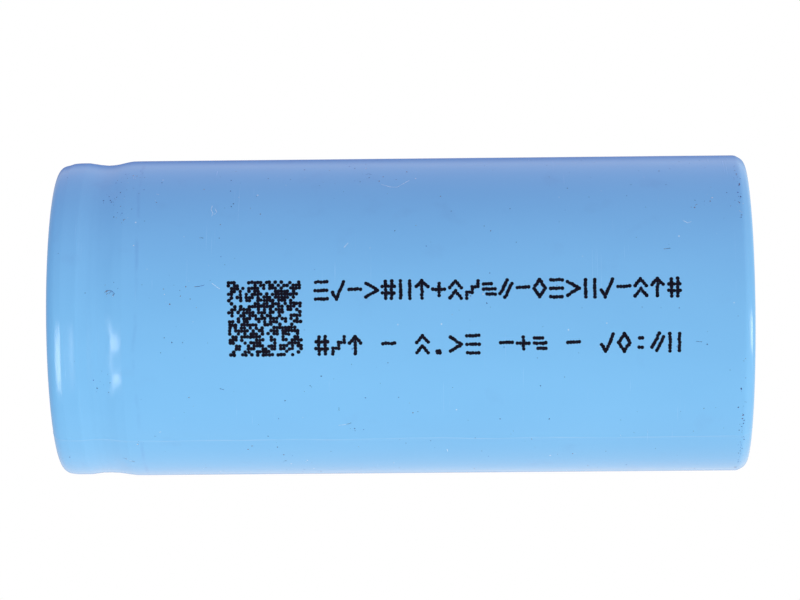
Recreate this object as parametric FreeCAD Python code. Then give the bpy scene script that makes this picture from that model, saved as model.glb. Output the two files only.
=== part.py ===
"""Cylindrical lithium iron phosphate cell in the 32 mm by 70 mm size, as an assembly of separate pieces.

The cell stands on its negative end. Z runs up the axis to the positive contact, the origin is the centre of
the negative contact, and every size is in millimetres. Each sub-part has a function of its name, and main()
writes one STEP file per sub-part.
"""

import FreeCAD, Part

import math
import os

V = FreeCAD.Vector
AXIS = V(0, 0, 1)
ORIGIN = V(0, 0, 0)

# Overall
CELL_HEIGHT = 70.5  # negative contact to positive contact
CONTACT_STAND = 0.6  # the positive contact above the sleeve's upper fold

# Drawn steel can
CAN_RADIUS = 16.0
CAN_WALL = 0.35
CAN_BASE = 0.5
CAN_BASE_CORNER = 1.08  # outer corner radius
BOSS_SETBACK = 1.9  # negative contact, coined flush with the sleeve's lower fold, inside its edge
BEAD_DEPTH = 1.9  # rolled groove that carries the gasket
BEAD_GAP = 3.7
BEAD_SHOULDER = 1.1  # outer bend radius below the groove
BEAD_ROOT = 0.75
CRIMP_BEND = 0.5  # outer bend radius above the groove
CRIMP_REDUCTION = 0.18  # the crimped collar is this much smaller in radius than the can
CRIMP_CORNER = 1.28
CRIMP_LIP = 3.4  # width of the lip, from the collar's outside

# Heat-shrink sleeve
SLEEVE = 0.12
SLEEVE_FIT = 0.01
SLEEVE_BASE_FOLD = 3.1
SLEEVE_TOP_FOLD = 3.4
SLEEVE_DIP = 0.43  # how far the sleeve sinks into the groove
SLEEVE_DIP_FLOOR = 0.7
SLEEVE_DIP_SLOPE = 0.155  # above the dip's floor
SLEEVE_DIP_BEND = 2.5
SLEEVE_LIFT_OFF = 0.12  # how far past the start of the groove's lower bend it leaves the can

# Paper ring on the crimp
RING_THICKNESS = 0.25
RING_OVERHANG = 1.5  # inwards, past the crimp's lip
RING_SETBACK = 0.1  # from the crimp's rounded corner

# Seal and positive cap
GASKET = 0.6
GASKET_FIT = 0.02
GASKET_LOWER_WIDTH = 2.46
GASKET_UPPER_WIDTH = 3.35
CAP_THICKNESS = 0.6
CAP_CONTACT_RADIUS = 6.9
CAP_CONE_WIDTH = 1.7
CAP_BEND = 0.7  # centre-line bend radius
CAP_VENTS = 4
CAP_VENT_WIDTH = 3.2
CAP_VENT_HEIGHT = 0.75

# Safety vent and current-interrupt plate
VENT_THICKNESS = 0.4
VENT_RIM_WIDTH = 3.8
VENT_DROP = 0.55
VENT_BEND = 0.45
DOME_RADIUS = 5.0  # the scored circle that tears free
SCORE_GAP = 0.03
DOME_STEP_RADIUS = 2.9
DOME_FOOT_RADIUS = 1.9
DOME_CLEARANCE = 0.3  # between the vent's web and the plate under it
PLATE_THICKNESS = 0.4
PLATE_FIT = 0.05
PLATE_HOLES = 6
PLATE_HOLE_RADIUS = 1.1
PLATE_HOLE_CIRCLE = 6.6
HOLDER_WALL = 1.5
HOLDER_LEDGE = 1.1
HOLDER_LEDGE_THICKNESS = 0.35
HOLDER_FIT = 0.1

# Insulating discs
DISC_THICKNESS = 0.3
DISC_FIT = 0.1  # radial gap to the can, or to the can's rounded corner
UPPER_DISC_BORE = 1.5
UPPER_DISC_VENTS = 6
UPPER_DISC_VENT_RADIUS = 1.3
UPPER_DISC_VENT_CIRCLE = 6.5
LOWER_DISC_BORE = 2.4
SLOT_MARGIN = 0.3  # round a tab or its tape

# Wound electrode roll, with fewer and thicker turns than the real one
CORE_RADIUS = 2.3  # mean radius of the first half turns' inside
ANODE_FOIL = 0.04
ANODE_COATING = 0.13  # on each side of the foil
CATHODE_FOIL = 0.06
CATHODE_COATING = 0.14  # on each side of the foil
SEPARATOR = 0.08
LAYER_GAP = 0.04
ROLL_FIT = 0.1  # between the roll's tape and the can
SEPARATOR_OVERHANG = 0.8  # past the anode, at each end
ANODE_OVERHANG = 0.8  # past the cathode, at each end
TAPE = 0.07
TAPE_SHARE = 0.86  # of the separators' height

# Tabs and centre pin
TAB_WIDTH = 4.0
TAB_THICKNESS = 0.12
TAB_HALF_TURNS_IN = 8  # where the tabs leave the roll, counted from its outside
TAB_END = 0.6  # from the axis
TAB_BEND = 0.4
TAB_RISE_SETBACK = 1.5  # inside the holder's ledge, where a positive tab turns up to the plate
TAB_RISE_RUN = 0.9
TAB_UNDERPASS = 0.5  # below the plate's holder
TAB_TAPE = 0.06
TAB_TAPE_HEIGHT = 1.6
TAB_TAPE_LIFT = 0.1  # above the separators
PIN_FIT = 0.18  # to the roll's narrowest
PIN_WALL = 0.3
PIN_SLIT = 0.5

# Heights that follow, from the top down
SLEEVE_TOP = CELL_HEIGHT - CONTACT_STAND
LIP_TOP = SLEEVE_TOP - SLEEVE - RING_THICKNESS
LIP_UNDERSIDE = LIP_TOP - CAN_WALL
FLANGE_TOP = LIP_UNDERSIDE - GASKET
FLANGE_UNDERSIDE = FLANGE_TOP - CAP_THICKNESS
VENT_UNDERSIDE = FLANGE_UNDERSIDE - VENT_THICKNESS
SHELF = VENT_UNDERSIDE - GASKET  # inside the can, on top of the bead
GROOVE_TOP = SHELF - CAN_WALL
GROOVE_BOTTOM = GROOVE_TOP - BEAD_GAP
WEB_UNDERSIDE = VENT_UNDERSIDE - VENT_DROP
PLATE_TOP = WEB_UNDERSIDE - DOME_CLEARANCE
PLATE_UNDERSIDE = PLATE_TOP - PLATE_THICKNESS
UPPER_DISC_TOP = GROOVE_BOTTOM - BEAD_SHOULDER
UPPER_DISC_UNDERSIDE = UPPER_DISC_TOP - DISC_THICKNESS

# Heights that follow, from the base up
CAN_UNDERSIDE = SLEEVE
CAN_FLOOR = CAN_UNDERSIDE + CAN_BASE
LOWER_DISC_UNDERSIDE = CAN_FLOOR + TAB_THICKNESS
ROLL_BOTTOM = LOWER_DISC_UNDERSIDE + DISC_THICKNESS
ROLL_TOP = UPPER_DISC_UNDERSIDE
ANODE_BOTTOM = ROLL_BOTTOM + SEPARATOR_OVERHANG
ANODE_TOP = ROLL_TOP - SEPARATOR_OVERHANG
CATHODE_BOTTOM = ANODE_BOTTOM + ANODE_OVERHANG
CATHODE_TOP = ANODE_TOP - ANODE_OVERHANG

# Radii that follow
SLEEVE_RADIUS = CAN_RADIUS + SLEEVE_FIT + SLEEVE
CAN_BORE = CAN_RADIUS - CAN_WALL
BOSS_RADIUS = CAN_RADIUS - SLEEVE_BASE_FOLD - BOSS_SETBACK
GROOVE_RADIUS = CAN_RADIUS - BEAD_DEPTH
COLLAR_RADIUS = CAN_RADIUS - CRIMP_REDUCTION
COLLAR_BORE = COLLAR_RADIUS - CAN_WALL
LIP_RADIUS = COLLAR_RADIUS - CRIMP_LIP
GASKET_RADIUS = COLLAR_BORE - GASKET_FIT
FLANGE_RADIUS = GASKET_RADIUS - GASKET - GASKET_FIT
GASKET_LOWER_BORE = GASKET_RADIUS - GASKET_LOWER_WIDTH
HOLDER_RADIUS = GASKET_LOWER_BORE - HOLDER_FIT
HOLDER_BORE = HOLDER_RADIUS - HOLDER_WALL
LEDGE_BORE = HOLDER_BORE - HOLDER_LEDGE
TAB_RISE_RADIUS = LEDGE_BORE - TAB_RISE_SETBACK
PLATE_RADIUS = HOLDER_BORE - PLATE_FIT
UPPER_DISC_RADIUS = CAN_BORE - DISC_FIT
LOWER_DISC_RADIUS = CAN_RADIUS - CAN_BASE_CORNER - DISC_FIT

# Winding: one turn's pitch, each layer's place in it, and the number of half turns that fit
ANODE = ANODE_FOIL + 2 * ANODE_COATING
CATHODE = CATHODE_FOIL + 2 * CATHODE_COATING
ANODE_AT = SEPARATOR + LAYER_GAP
SEPARATOR_TWO_AT = ANODE_AT + ANODE + LAYER_GAP
CATHODE_AT = SEPARATOR_TWO_AT + SEPARATOR + LAYER_GAP
PITCH = CATHODE_AT + CATHODE + LAYER_GAP
WOUND_DEPTH = CAN_BORE - ROLL_FIT - TAPE - LAYER_GAP - SEPARATOR - PITCH / 4 - CORE_RADIUS
HALF_TURNS = math.floor(WOUND_DEPTH / (PITCH / 2)) + 1
TAB_HALF_TURN = HALF_TURNS - TAB_HALF_TURNS_IN
PIN_RADIUS = CORE_RADIUS - PITCH / 4 - PIN_FIT


def offset_path(points, distance):
    """A path of (r, z) points moved sideways by distance, to its left if positive, with mitred corners."""
    normals = []
    for (r0, z0), (r1, z1) in zip(points, points[1:]):
        length = math.hypot(r1 - r0, z1 - z0)
        normals.append(((z0 - z1) / length, (r1 - r0) / length))
    moved = []
    for i, (r, z) in enumerate(points):
        before = normals[max(i - 1, 0)]
        after = normals[min(i, len(normals) - 1)]
        mitre = 1 + before[0] * after[0] + before[1] * after[1]
        moved.append(
            (
                r + distance * (before[0] + after[0]) / mitre,
                z + distance * (before[1] + after[1]) / mitre,
            )
        )
    return moved


def offset_bends(points, bends, distance):
    """The bend radii of offset_path's result: a bend to the left gets smaller as the path moves left."""
    result = []
    for before, here, after, bend in zip(points, points[1:], points[2:], bends[1:-1]):
        turn = (here[0] - before[0]) * (after[1] - here[1]) - (here[1] - before[1]) * (after[0] - here[0])
        result.append(bend - distance * math.copysign(1, turn) if bend else 0)
    return [0, *result, 0]


def rounded_edges(points, bends, place, closed=False):
    """Straight runs joined by tangent arcs. A bend of 0 is sharp, and place turns an (r, z) pair into a point."""
    corners = []
    last = len(points) - 1
    for i, here in enumerate(points):
        bend = bends[i]
        if not bend or (not closed and i in (0, last)):
            corners.append((here,))
            continue
        before, after = points[i - 1], points[(i + 1) % len(points)]
        into = unit(before, here)
        out = unit(here, after)
        cosine = max(-1.0, min(1.0, into[0] * out[0] + into[1] * out[1]))
        half_turn = math.acos(cosine) / 2
        back = bend * math.tan(half_turn)
        start = (here[0] - into[0] * back, here[1] - into[1] * back)
        end = (here[0] + out[0] * back, here[1] + out[1] * back)
        inward = unit((0, 0), (out[0] - into[0], out[1] - into[1]))
        depth = bend / math.cos(half_turn) - bend
        middle = (here[0] + inward[0] * depth, here[1] + inward[1] * depth)
        corners.append((start, middle, end))
    edges = []
    for i, corner in enumerate(corners):
        if len(corner) == 3:
            edges.append(Part.Arc(*[place(*p) for p in corner]).toShape())
        if closed or i < last:
            start, end = place(*corner[-1]), place(*corners[(i + 1) % len(corners)][0])
            if start.distanceToPoint(end) > 1e-7:
                edges.append(Part.LineSegment(start, end).toShape())
    return edges


def unit(start, end):
    length = math.hypot(end[0] - start[0], end[1] - start[1])
    return ((end[0] - start[0]) / length, (end[1] - start[1]) / length)


def in_section(r, z):
    return V(r, 0, z)


def turned(points, bends=None):
    """A solid of revolution about the axis, from a closed outline of (r, z) points."""
    edges = rounded_edges(points, bends or [0] * len(points), in_section, closed=True)
    return Part.Face(Part.Wire(edges)).revolve(ORIGIN, AXIS, 360)


def thick_path(points, bends, thickness, place):
    """The face between a centre line's two sides, half a thickness away on each."""
    half = thickness / 2
    left = offset_path(points, half)
    right = offset_path(points, -half)
    outline = left + right[::-1]
    corner_radii = offset_bends(points, bends, half) + offset_bends(points, bends, -half)[::-1]
    return Part.Face(Part.Wire(rounded_edges(outline, corner_radii, place, closed=True)))


def pressed_sheet(points, bends, thickness):
    """A pressed round of sheet metal, from its centre line in the (r, z) half-plane."""
    return thick_path(points, bends, thickness, in_section).revolve(ORIGIN, AXIS, 360)


def ring(outer, inner, bottom, top):
    shape = Part.makeCylinder(outer, top - bottom, V(0, 0, bottom))
    return shape.cut(Part.makeCylinder(inner, top - bottom, V(0, 0, bottom)))


def round_the_axis(shape, count):
    """Copies of a shape, evenly spaced round the axis."""
    copies = []
    for i in range(count):
        copy = shape.copy()
        copy.rotate(ORIGIN, AXIS, 360 * i / count)
        copies.append(copy)
    return copies


def steel_can():
    wall = [
        (CAN_RADIUS, CAN_UNDERSIDE),
        (CAN_RADIUS, GROOVE_BOTTOM),
        (GROOVE_RADIUS, GROOVE_BOTTOM),
        (GROOVE_RADIUS, GROOVE_TOP),
        (COLLAR_RADIUS, GROOVE_TOP),
        (COLLAR_RADIUS, LIP_TOP),
        (LIP_RADIUS, LIP_TOP),
    ]
    bends = [0, BEAD_SHOULDER, BEAD_ROOT, BEAD_ROOT, CRIMP_BEND, CRIMP_CORNER, 0]
    inside = offset_path(wall, CAN_WALL)
    inside_bends = offset_bends(wall, bends, CAN_WALL)
    inside[0] = (CAN_BORE, CAN_FLOOR)
    inside_bends[0] = CAN_BASE_CORNER - CAN_WALL
    outside_bends = [CAN_BASE_CORNER, *bends[1:]]
    base_outside = [(0, 0), (BOSS_RADIUS, 0), (BOSS_RADIUS + SLEEVE, CAN_UNDERSIDE)]
    outline = base_outside + wall + inside[::-1] + [(0, CAN_FLOOR)]
    return turned(outline, [0, 0, 0] + outside_bends + inside_bends[::-1] + [0])


def shrink_sleeve():
    """The sleeve lies on the can, sinks into the groove, and folds over both ends."""
    half = SLEEVE / 2
    body = SLEEVE_RADIUS - half
    collar = body - CRIMP_REDUCTION
    dip = body - SLEEVE_DIP
    dip_foot = GROOVE_BOTTOM - BEAD_SHOULDER + SLEEVE_LIFT_OFF
    dip_head = GROOVE_TOP + CRIMP_BEND
    dip_bottom = dip_head - (collar - dip) / SLEEVE_DIP_SLOPE
    points = [
        (CAN_RADIUS - SLEEVE_BASE_FOLD, half),
        (body, half),
        (body, dip_foot),
        (dip, dip_bottom - SLEEVE_DIP_FLOOR),
        (dip, dip_bottom),
        (collar, dip_head),
        (collar, SLEEVE_TOP - half),
        (COLLAR_RADIUS - SLEEVE_TOP_FOLD, SLEEVE_TOP - half),
    ]
    base_corner = CAN_BASE_CORNER + SLEEVE_FIT + half
    top_corner = CRIMP_CORNER + SLEEVE_FIT + half
    bends = [0, base_corner, SLEEVE_DIP_BEND, SLEEVE_DIP_BEND, SLEEVE_DIP_BEND, CRIMP_BEND, top_corner, 0]
    return pressed_sheet(points, bends, SLEEVE)


def top_insulator_ring():
    outer = COLLAR_RADIUS - CRIMP_CORNER - RING_SETBACK
    return ring(outer, LIP_RADIUS - RING_OVERHANG, LIP_TOP, LIP_TOP + RING_THICKNESS)


def crimp_gasket():
    """C-shaped seal that wraps the rims of the cap and the vent disc."""
    inner = GASKET_RADIUS - GASKET
    outline = [
        (GASKET_LOWER_BORE, SHELF),
        (GASKET_RADIUS, SHELF),
        (GASKET_RADIUS, LIP_UNDERSIDE),
        (GASKET_RADIUS - GASKET_UPPER_WIDTH, LIP_UNDERSIDE),
        (GASKET_RADIUS - GASKET_UPPER_WIDTH, FLANGE_TOP),
        (inner, FLANGE_TOP),
        (inner, VENT_UNDERSIDE),
        (GASKET_LOWER_BORE, VENT_UNDERSIDE),
    ]
    return turned(outline, [0, CRIMP_BEND, CRIMP_CORNER - CAN_WALL, 0, 0, 0, 0, 0])


def positive_cap():
    """Pressed cap with its raised contact and gas windows in the cone."""
    half = CAP_THICKNESS / 2
    flange_middle = FLANGE_UNDERSIDE + half
    contact_middle = CELL_HEIGHT - half
    cone_foot = CAP_CONTACT_RADIUS + CAP_CONE_WIDTH
    points = [
        (0, contact_middle),
        (CAP_CONTACT_RADIUS, contact_middle),
        (cone_foot, flange_middle),
        (FLANGE_RADIUS, flange_middle),
    ]
    cap = pressed_sheet(points, [0, CAP_BEND, CAP_BEND, 0], CAP_THICKNESS)
    cone_middle = (flange_middle + contact_middle) / 2
    window = Part.makeBox(
        CAP_CONE_WIDTH + 2 * CAP_THICKNESS,
        CAP_VENT_WIDTH,
        CAP_VENT_HEIGHT,
        V(CAP_CONTACT_RADIUS - CAP_THICKNESS, -CAP_VENT_WIDTH / 2, cone_middle - CAP_VENT_HEIGHT / 2),
    )
    return cap.cut(round_the_axis(window, CAP_VENTS))


def vent_disc():
    """Pressure-relief disc, outside its scored circle."""
    half = VENT_THICKNESS / 2
    rim_foot = FLANGE_RADIUS - VENT_RIM_WIDTH
    points = [
        (DOME_RADIUS + SCORE_GAP, WEB_UNDERSIDE + half),
        (rim_foot - VENT_DROP, WEB_UNDERSIDE + half),
        (rim_foot, VENT_UNDERSIDE + half),
        (FLANGE_RADIUS, VENT_UNDERSIDE + half),
    ]
    return pressed_sheet(points, [0, VENT_BEND, VENT_BEND, 0], VENT_THICKNESS)


def vent_dome():
    """The disc inside the score, which pressure lifts off the plate."""
    half = VENT_THICKNESS / 2
    points = [
        (0, PLATE_TOP + half),
        (DOME_FOOT_RADIUS, PLATE_TOP + half),
        (DOME_STEP_RADIUS, WEB_UNDERSIDE + half),
        (DOME_RADIUS, WEB_UNDERSIDE + half),
    ]
    return pressed_sheet(points, [0, VENT_BEND, VENT_BEND, 0], VENT_THICKNESS)


def cid_holder():
    """Insulating ring that clips the plate under the vent disc."""
    return turned(
        [
            (LEDGE_BORE, PLATE_UNDERSIDE - HOLDER_LEDGE_THICKNESS),
            (HOLDER_RADIUS, PLATE_UNDERSIDE - HOLDER_LEDGE_THICKNESS),
            (HOLDER_RADIUS, VENT_UNDERSIDE),
            (HOLDER_BORE, VENT_UNDERSIDE),
            (HOLDER_BORE, PLATE_UNDERSIDE),
            (LEDGE_BORE, PLATE_UNDERSIDE),
        ]
    )


def cid_plate():
    plate = Part.makeCylinder(PLATE_RADIUS, PLATE_THICKNESS, V(0, 0, PLATE_UNDERSIDE))
    hole = Part.makeCylinder(PLATE_HOLE_RADIUS, PLATE_THICKNESS, V(PLATE_HOLE_CIRCLE, 0, PLATE_UNDERSIDE))
    return plate.cut(round_the_axis(hole, PLATE_HOLES))


def winding_radius(half_turn):
    return CORE_RADIUS + half_turn * PITCH / 2


def winding_centre(half_turn):
    """Half turns are centred to one side of the axis and the other in turn, so that they join smoothly."""
    return V(-PITCH / 4 if half_turn % 2 == 0 else PITCH / 4, 0, 0)


def wound_edges(at, first, last, bottom):
    edges = []
    for k in range(first, last):
        circle = Part.Circle(winding_centre(k) + V(0, 0, bottom), AXIS, winding_radius(k) + at)
        start = 0 if k % 2 == 0 else math.pi
        edges.append(Part.ArcOfCircle(circle, start, start + math.pi).toShape())
    return edges


def wound_sheet(at, thickness, first, last, bottom, top):
    """A sheet wound in a spiral of half turns first to last, at a distance from the winding's base curve."""
    inner = wound_edges(at, first, last, bottom)
    outer = wound_edges(at + thickness, first, last, bottom)
    start = Part.LineSegment(inner[0].firstVertex().Point, outer[0].firstVertex().Point).toShape()
    end = Part.LineSegment(inner[-1].lastVertex().Point, outer[-1].lastVertex().Point).toShape()
    outline = Part.Wire(Part.__sortEdges__([*inner, end, *outer, start]))
    return Part.Face(outline).extrude(V(0, 0, top - bottom))


def separator_one():
    """The separator that starts inside the anode and ends one half turn past it, as the roll's outside."""
    return wound_sheet(0, SEPARATOR, 0, HALF_TURNS, ROLL_BOTTOM, ROLL_TOP)


def separator_two():
    return wound_sheet(SEPARATOR_TWO_AT, SEPARATOR, 0, HALF_TURNS - 2, ROLL_BOTTOM, ROLL_TOP)


def anode_layer(at, thickness):
    return wound_sheet(ANODE_AT + at, thickness, 0, HALF_TURNS - 2, ANODE_BOTTOM, ANODE_TOP)


def cathode_layer(at, thickness):
    """The cathode starts and ends a half turn inside the anode's ends."""
    return wound_sheet(CATHODE_AT + at, thickness, 1, HALF_TURNS - 3, CATHODE_BOTTOM, CATHODE_TOP)


def anode_foil():
    return anode_layer(ANODE_COATING, ANODE_FOIL)


def anode_coating():
    """Graphite on both faces of the copper foil."""
    outer_face = anode_layer(ANODE - ANODE_COATING, ANODE_COATING)
    return Part.makeCompound([anode_layer(0, ANODE_COATING), outer_face])


def cathode_foil():
    return cathode_layer(CATHODE_COATING, CATHODE_FOIL)


def cathode_coating():
    """Iron phosphate on both faces of the aluminium foil."""
    outer_face = cathode_layer(CATHODE - CATHODE_COATING, CATHODE_COATING)
    return Part.makeCompound([cathode_layer(0, CATHODE_COATING), outer_face])


def roll_tape():
    """Closing tape over the separator's last half turn."""
    margin = (ROLL_TOP - ROLL_BOTTOM) * (1 - TAPE_SHARE) / 2
    at = SEPARATOR + LAYER_GAP
    return wound_sheet(at, TAPE, HALF_TURNS - 1, HALF_TURNS, ROLL_BOTTOM + margin, ROLL_TOP - margin)


def tab_places(layer_at, layer_thickness):
    """For an electrode's two tabs: the roll's side (1 or -1), and the strip's middle in X and distance in Y."""
    places = []
    for half_turn in (TAB_HALF_TURN, TAB_HALF_TURN + 1):
        side = 1 if half_turn % 2 == 0 else -1
        radius = winding_radius(half_turn) + layer_at + layer_thickness / 2
        sagitta = TAB_WIDTH**2 / (8 * radius)
        places.append((side, winding_centre(half_turn).x, radius - sagitta / 2))
    return places


def strip(points, bends, side, middle_x):
    """A flat strip of tab foil, from its centre line of (distance in Y, z) points."""

    def place(y, z):
        return V(middle_x - TAB_WIDTH / 2, side * y, z)

    face = thick_path(points, bends, TAB_THICKNESS, place)
    return face.extrude(V(TAB_WIDTH, 0, 0))


def positive_tabs():
    """Each strip rises from the cathode, passes under the plate's holder, and lies against the plate."""
    half = TAB_THICKNESS / 2
    under = PLATE_UNDERSIDE - HOLDER_LEDGE_THICKNESS - TAB_UNDERPASS
    strips = []
    for side, x, y in tab_places(CATHODE_AT, CATHODE):
        points = [
            (y, CATHODE_TOP),
            (y, under),
            (TAB_RISE_RADIUS, under),
            (TAB_RISE_RADIUS - TAB_RISE_RUN, PLATE_UNDERSIDE - half),
            (TAB_END, PLATE_UNDERSIDE - half),
        ]
        strips.append(strip(points, [0, TAB_BEND, TAB_BEND, TAB_BEND, 0], side, x))
    return Part.makeCompound(strips)


def negative_tabs():
    """Each strip drops from the anode and lies on the can's floor, where it is welded."""
    half = TAB_THICKNESS / 2
    strips = []
    for side, x, y in tab_places(ANODE_AT, ANODE):
        points = [(y, ANODE_BOTTOM), (y, CAN_FLOOR + half), (TAB_END, CAN_FLOOR + half)]
        strips.append(strip(points, [0, TAB_BEND, 0], side, x))
    return Part.makeCompound(strips)


def tab_box(side, x, y, margin, bottom, top):
    """A block round an upright stretch of tab."""
    width = TAB_WIDTH + 2 * margin
    depth = TAB_THICKNESS + 2 * margin
    return Part.makeBox(width, depth, top - bottom, V(x - width / 2, side * y - depth / 2, bottom))


def positive_tab_tape():
    """Polyimide wrap on each positive tab, where it passes through the upper disc."""
    bottom = ROLL_TOP + TAB_TAPE_LIFT
    top = bottom + TAB_TAPE_HEIGHT
    wraps = []
    for side, x, y in tab_places(CATHODE_AT, CATHODE):
        outside = tab_box(side, x, y, TAB_TAPE, bottom, top)
        wraps.append(outside.cut(tab_box(side, x, y, 0, bottom, top)))
    return Part.makeCompound(wraps)


def upper_insulator():
    disc = ring(UPPER_DISC_RADIUS, UPPER_DISC_BORE, UPPER_DISC_UNDERSIDE, UPPER_DISC_TOP)
    vent = Part.makeCylinder(
        UPPER_DISC_VENT_RADIUS, DISC_THICKNESS, V(UPPER_DISC_VENT_CIRCLE, 0, UPPER_DISC_UNDERSIDE)
    )
    cuts = round_the_axis(vent, UPPER_DISC_VENTS)
    for side, x, y in tab_places(CATHODE_AT, CATHODE):
        cuts.append(tab_box(side, x, y, TAB_TAPE + SLOT_MARGIN, UPPER_DISC_UNDERSIDE, UPPER_DISC_TOP))
    return disc.cut(cuts)


def lower_insulator():
    disc = ring(LOWER_DISC_RADIUS, LOWER_DISC_BORE, LOWER_DISC_UNDERSIDE, ROLL_BOTTOM)
    cuts = []
    for side, x, y in tab_places(ANODE_AT, ANODE):
        cuts.append(tab_box(side, x, y, TAB_BEND + SLOT_MARGIN, LOWER_DISC_UNDERSIDE, ROLL_BOTTOM))
    return disc.cut(cuts)


def centre_pin():
    """Slit tube that keeps the roll's core open and stands on the welded tabs."""
    bottom = CAN_FLOOR + TAB_THICKNESS
    tube = ring(PIN_RADIUS, PIN_RADIUS - PIN_WALL, bottom, ROLL_TOP)
    slit = Part.makeBox(PIN_RADIUS, PIN_SLIT, ROLL_TOP - bottom, V(0, -PIN_SLIT / 2, bottom))
    return tube.cut(slit)


SUBPARTS = (
    steel_can,
    shrink_sleeve,
    top_insulator_ring,
    crimp_gasket,
    positive_cap,
    vent_disc,
    vent_dome,
    cid_holder,
    cid_plate,
    upper_insulator,
    lower_insulator,
    separator_one,
    separator_two,
    anode_foil,
    anode_coating,
    cathode_foil,
    cathode_coating,
    roll_tape,
    positive_tabs,
    positive_tab_tape,
    negative_tabs,
    centre_pin,
)


def main():
    os.makedirs("parts", exist_ok=True)
    for make in SUBPARTS:
        shape = make()
        name = make.__name__
        print(f"{name}: {len(shape.Solids)} solid(s), {shape.Volume:.1f} mm3, valid {shape.isValid()}")
        shape.exportStep(f"parts/{name}.step")


main()
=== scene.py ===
"""Looks of the cylindrical battery cell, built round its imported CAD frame.

The cell stands on its flat end, with its axis on Z. The camera lies on its side, as the photo shows the cell:
image left is +Z and image up is +X. "Front" is the line of the sleeve that faces the camera. Angles round the
cell are counted from the front toward -X, which is image down.
"""

import bisect
import math
import random

import bmesh
import bpy
from mathutils import Matrix, Vector, noise


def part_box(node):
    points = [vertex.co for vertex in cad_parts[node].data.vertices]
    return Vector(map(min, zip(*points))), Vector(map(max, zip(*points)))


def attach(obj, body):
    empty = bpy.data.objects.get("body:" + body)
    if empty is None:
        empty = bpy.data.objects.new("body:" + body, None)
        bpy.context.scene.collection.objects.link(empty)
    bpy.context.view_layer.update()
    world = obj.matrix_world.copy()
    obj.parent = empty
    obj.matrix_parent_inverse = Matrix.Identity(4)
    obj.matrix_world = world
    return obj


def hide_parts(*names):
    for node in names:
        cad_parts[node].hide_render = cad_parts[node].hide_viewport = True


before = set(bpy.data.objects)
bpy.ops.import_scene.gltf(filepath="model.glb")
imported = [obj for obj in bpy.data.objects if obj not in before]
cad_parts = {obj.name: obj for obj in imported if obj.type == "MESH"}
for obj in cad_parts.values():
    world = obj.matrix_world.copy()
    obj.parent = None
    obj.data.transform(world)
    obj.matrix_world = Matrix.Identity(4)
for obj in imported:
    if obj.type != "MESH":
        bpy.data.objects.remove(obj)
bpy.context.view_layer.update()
SLEEVE_LOW, SLEEVE_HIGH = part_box("shrink_sleeve")

MM = 0.001

# The film's section, given by its middle line from the lip of the base fold to the lip of the top fold. It
# follows the CAD film, with a longer and softer dip over the groove.
FILM = 0.12 * MM
WALL = SLEEVE_HIGH.x - FILM / 2  # a radius, as are the dip, the collar, both lips and the knee
FOOT = SLEEVE_LOW.z + FILM / 2  # a height
TOP = SLEEVE_HIGH.z - FILM / 2  # a height
DIP = WALL - 0.42 * MM  # at the dip's lowest place
COLLAR = WALL - 0.15 * MM
BASE_LIP = WALL - 3.17 * MM
TOP_LIP = COLLAR - 3.47 * MM
KNEE = WALL - 0.07 * MM  # where the slack film begins to fall into the groove
DIP_START = TOP - 7.44 * MM  # this height and the next three go up the dip
KNEE_HEIGHT = TOP - 6.54 * MM
DIP_LOW = TOP - 4.49 * MM
DIP_END = TOP - 2.94 * MM
TAPER = 0.19 * MM  # the collar leans in by this much, above its taper height
TAPER_HEIGHT = TOP - 1.40 * MM
BASE_FACET = 0.50 * MM  # width and rise of the slope at the base corner
BASE_FACET_RISE = 0.85 * MM
BASE_BEND = 0.80 * MM  # this and the next five are bend radii
START_BEND = 1.2 * MM
KNEE_BEND = 4.0 * MM
LOW_BEND = 7.0 * MM
RISE_BEND = 1.6 * MM
TOP_BEND = 1.0 * MM

# How finely the film is meshed.
BEND_STEP = math.radians(7)
WALL_STEP = 0.8 * MM
DIP_STEP = 0.3 * MM
FINE_MARGIN = 3 * MM  # the fine steps begin this far below the dip
PLAIN_COLUMNS = 216
CREASE_STEP = math.radians(0.4)
CREASE_COLUMNS = 6

# What shrinking left in the film.
CREASES = (math.radians(50.5), math.radians(230.5))
CREASE_HEIGHT = 0.04 * MM
CREASE_WIDTH = 0.16 * MM
CREASE_WANDER = 0.12 * MM
CREASE_WANDER_LENGTH = 7 * MM
CREASE_PATCH_LENGTH = 3 * MM
SWELL = 0.010 * MM
SWELL_LENGTH = 9 * MM
SWELL_STRETCH = 1.6  # along the cell
DIP_PUCKER = 0.012 * MM
DIP_PUCKER_LENGTH = 2.4 * MM
DIP_PUCKER_STRETCH = 2.2  # along the cell
DIP_PUCKER_SPAN = 1.7 * MM
STEP_BELOW_DIP = 1.3 * MM
STEP_HEIGHT = 0.014 * MM
STEP_WIDTH = 0.16 * MM
STEP_WANDER = 0.5 * MM
DENT_DEPTH = 0.098 * MM
DENT_HEIGHT = KNEE_HEIGHT + 0.24 * MM
LIP_PUCKER = 0.05 * MM
LIP_PUCKER_LENGTH = 2.0 * MM
LIP_WANDER = 0.25 * MM
LIP_WANDER_LENGTH = 4.0 * MM
LIP_REACH = 2 * MM  # the folds gather and wander over this width, next to their bends
END_PATTERN_LENGTH = 50 * MM  # shorter than the cell, so that its two lips differ

# Which way a part of the film faces, by its normal's part along the cell or away from the axis.
FACES_UP = 0.5
FACES_OUT = 0.2
SMALLEST_STEP = 1e-6 * MM  # keeps two equal heights of the film's outside from dividing by nothing

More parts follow.
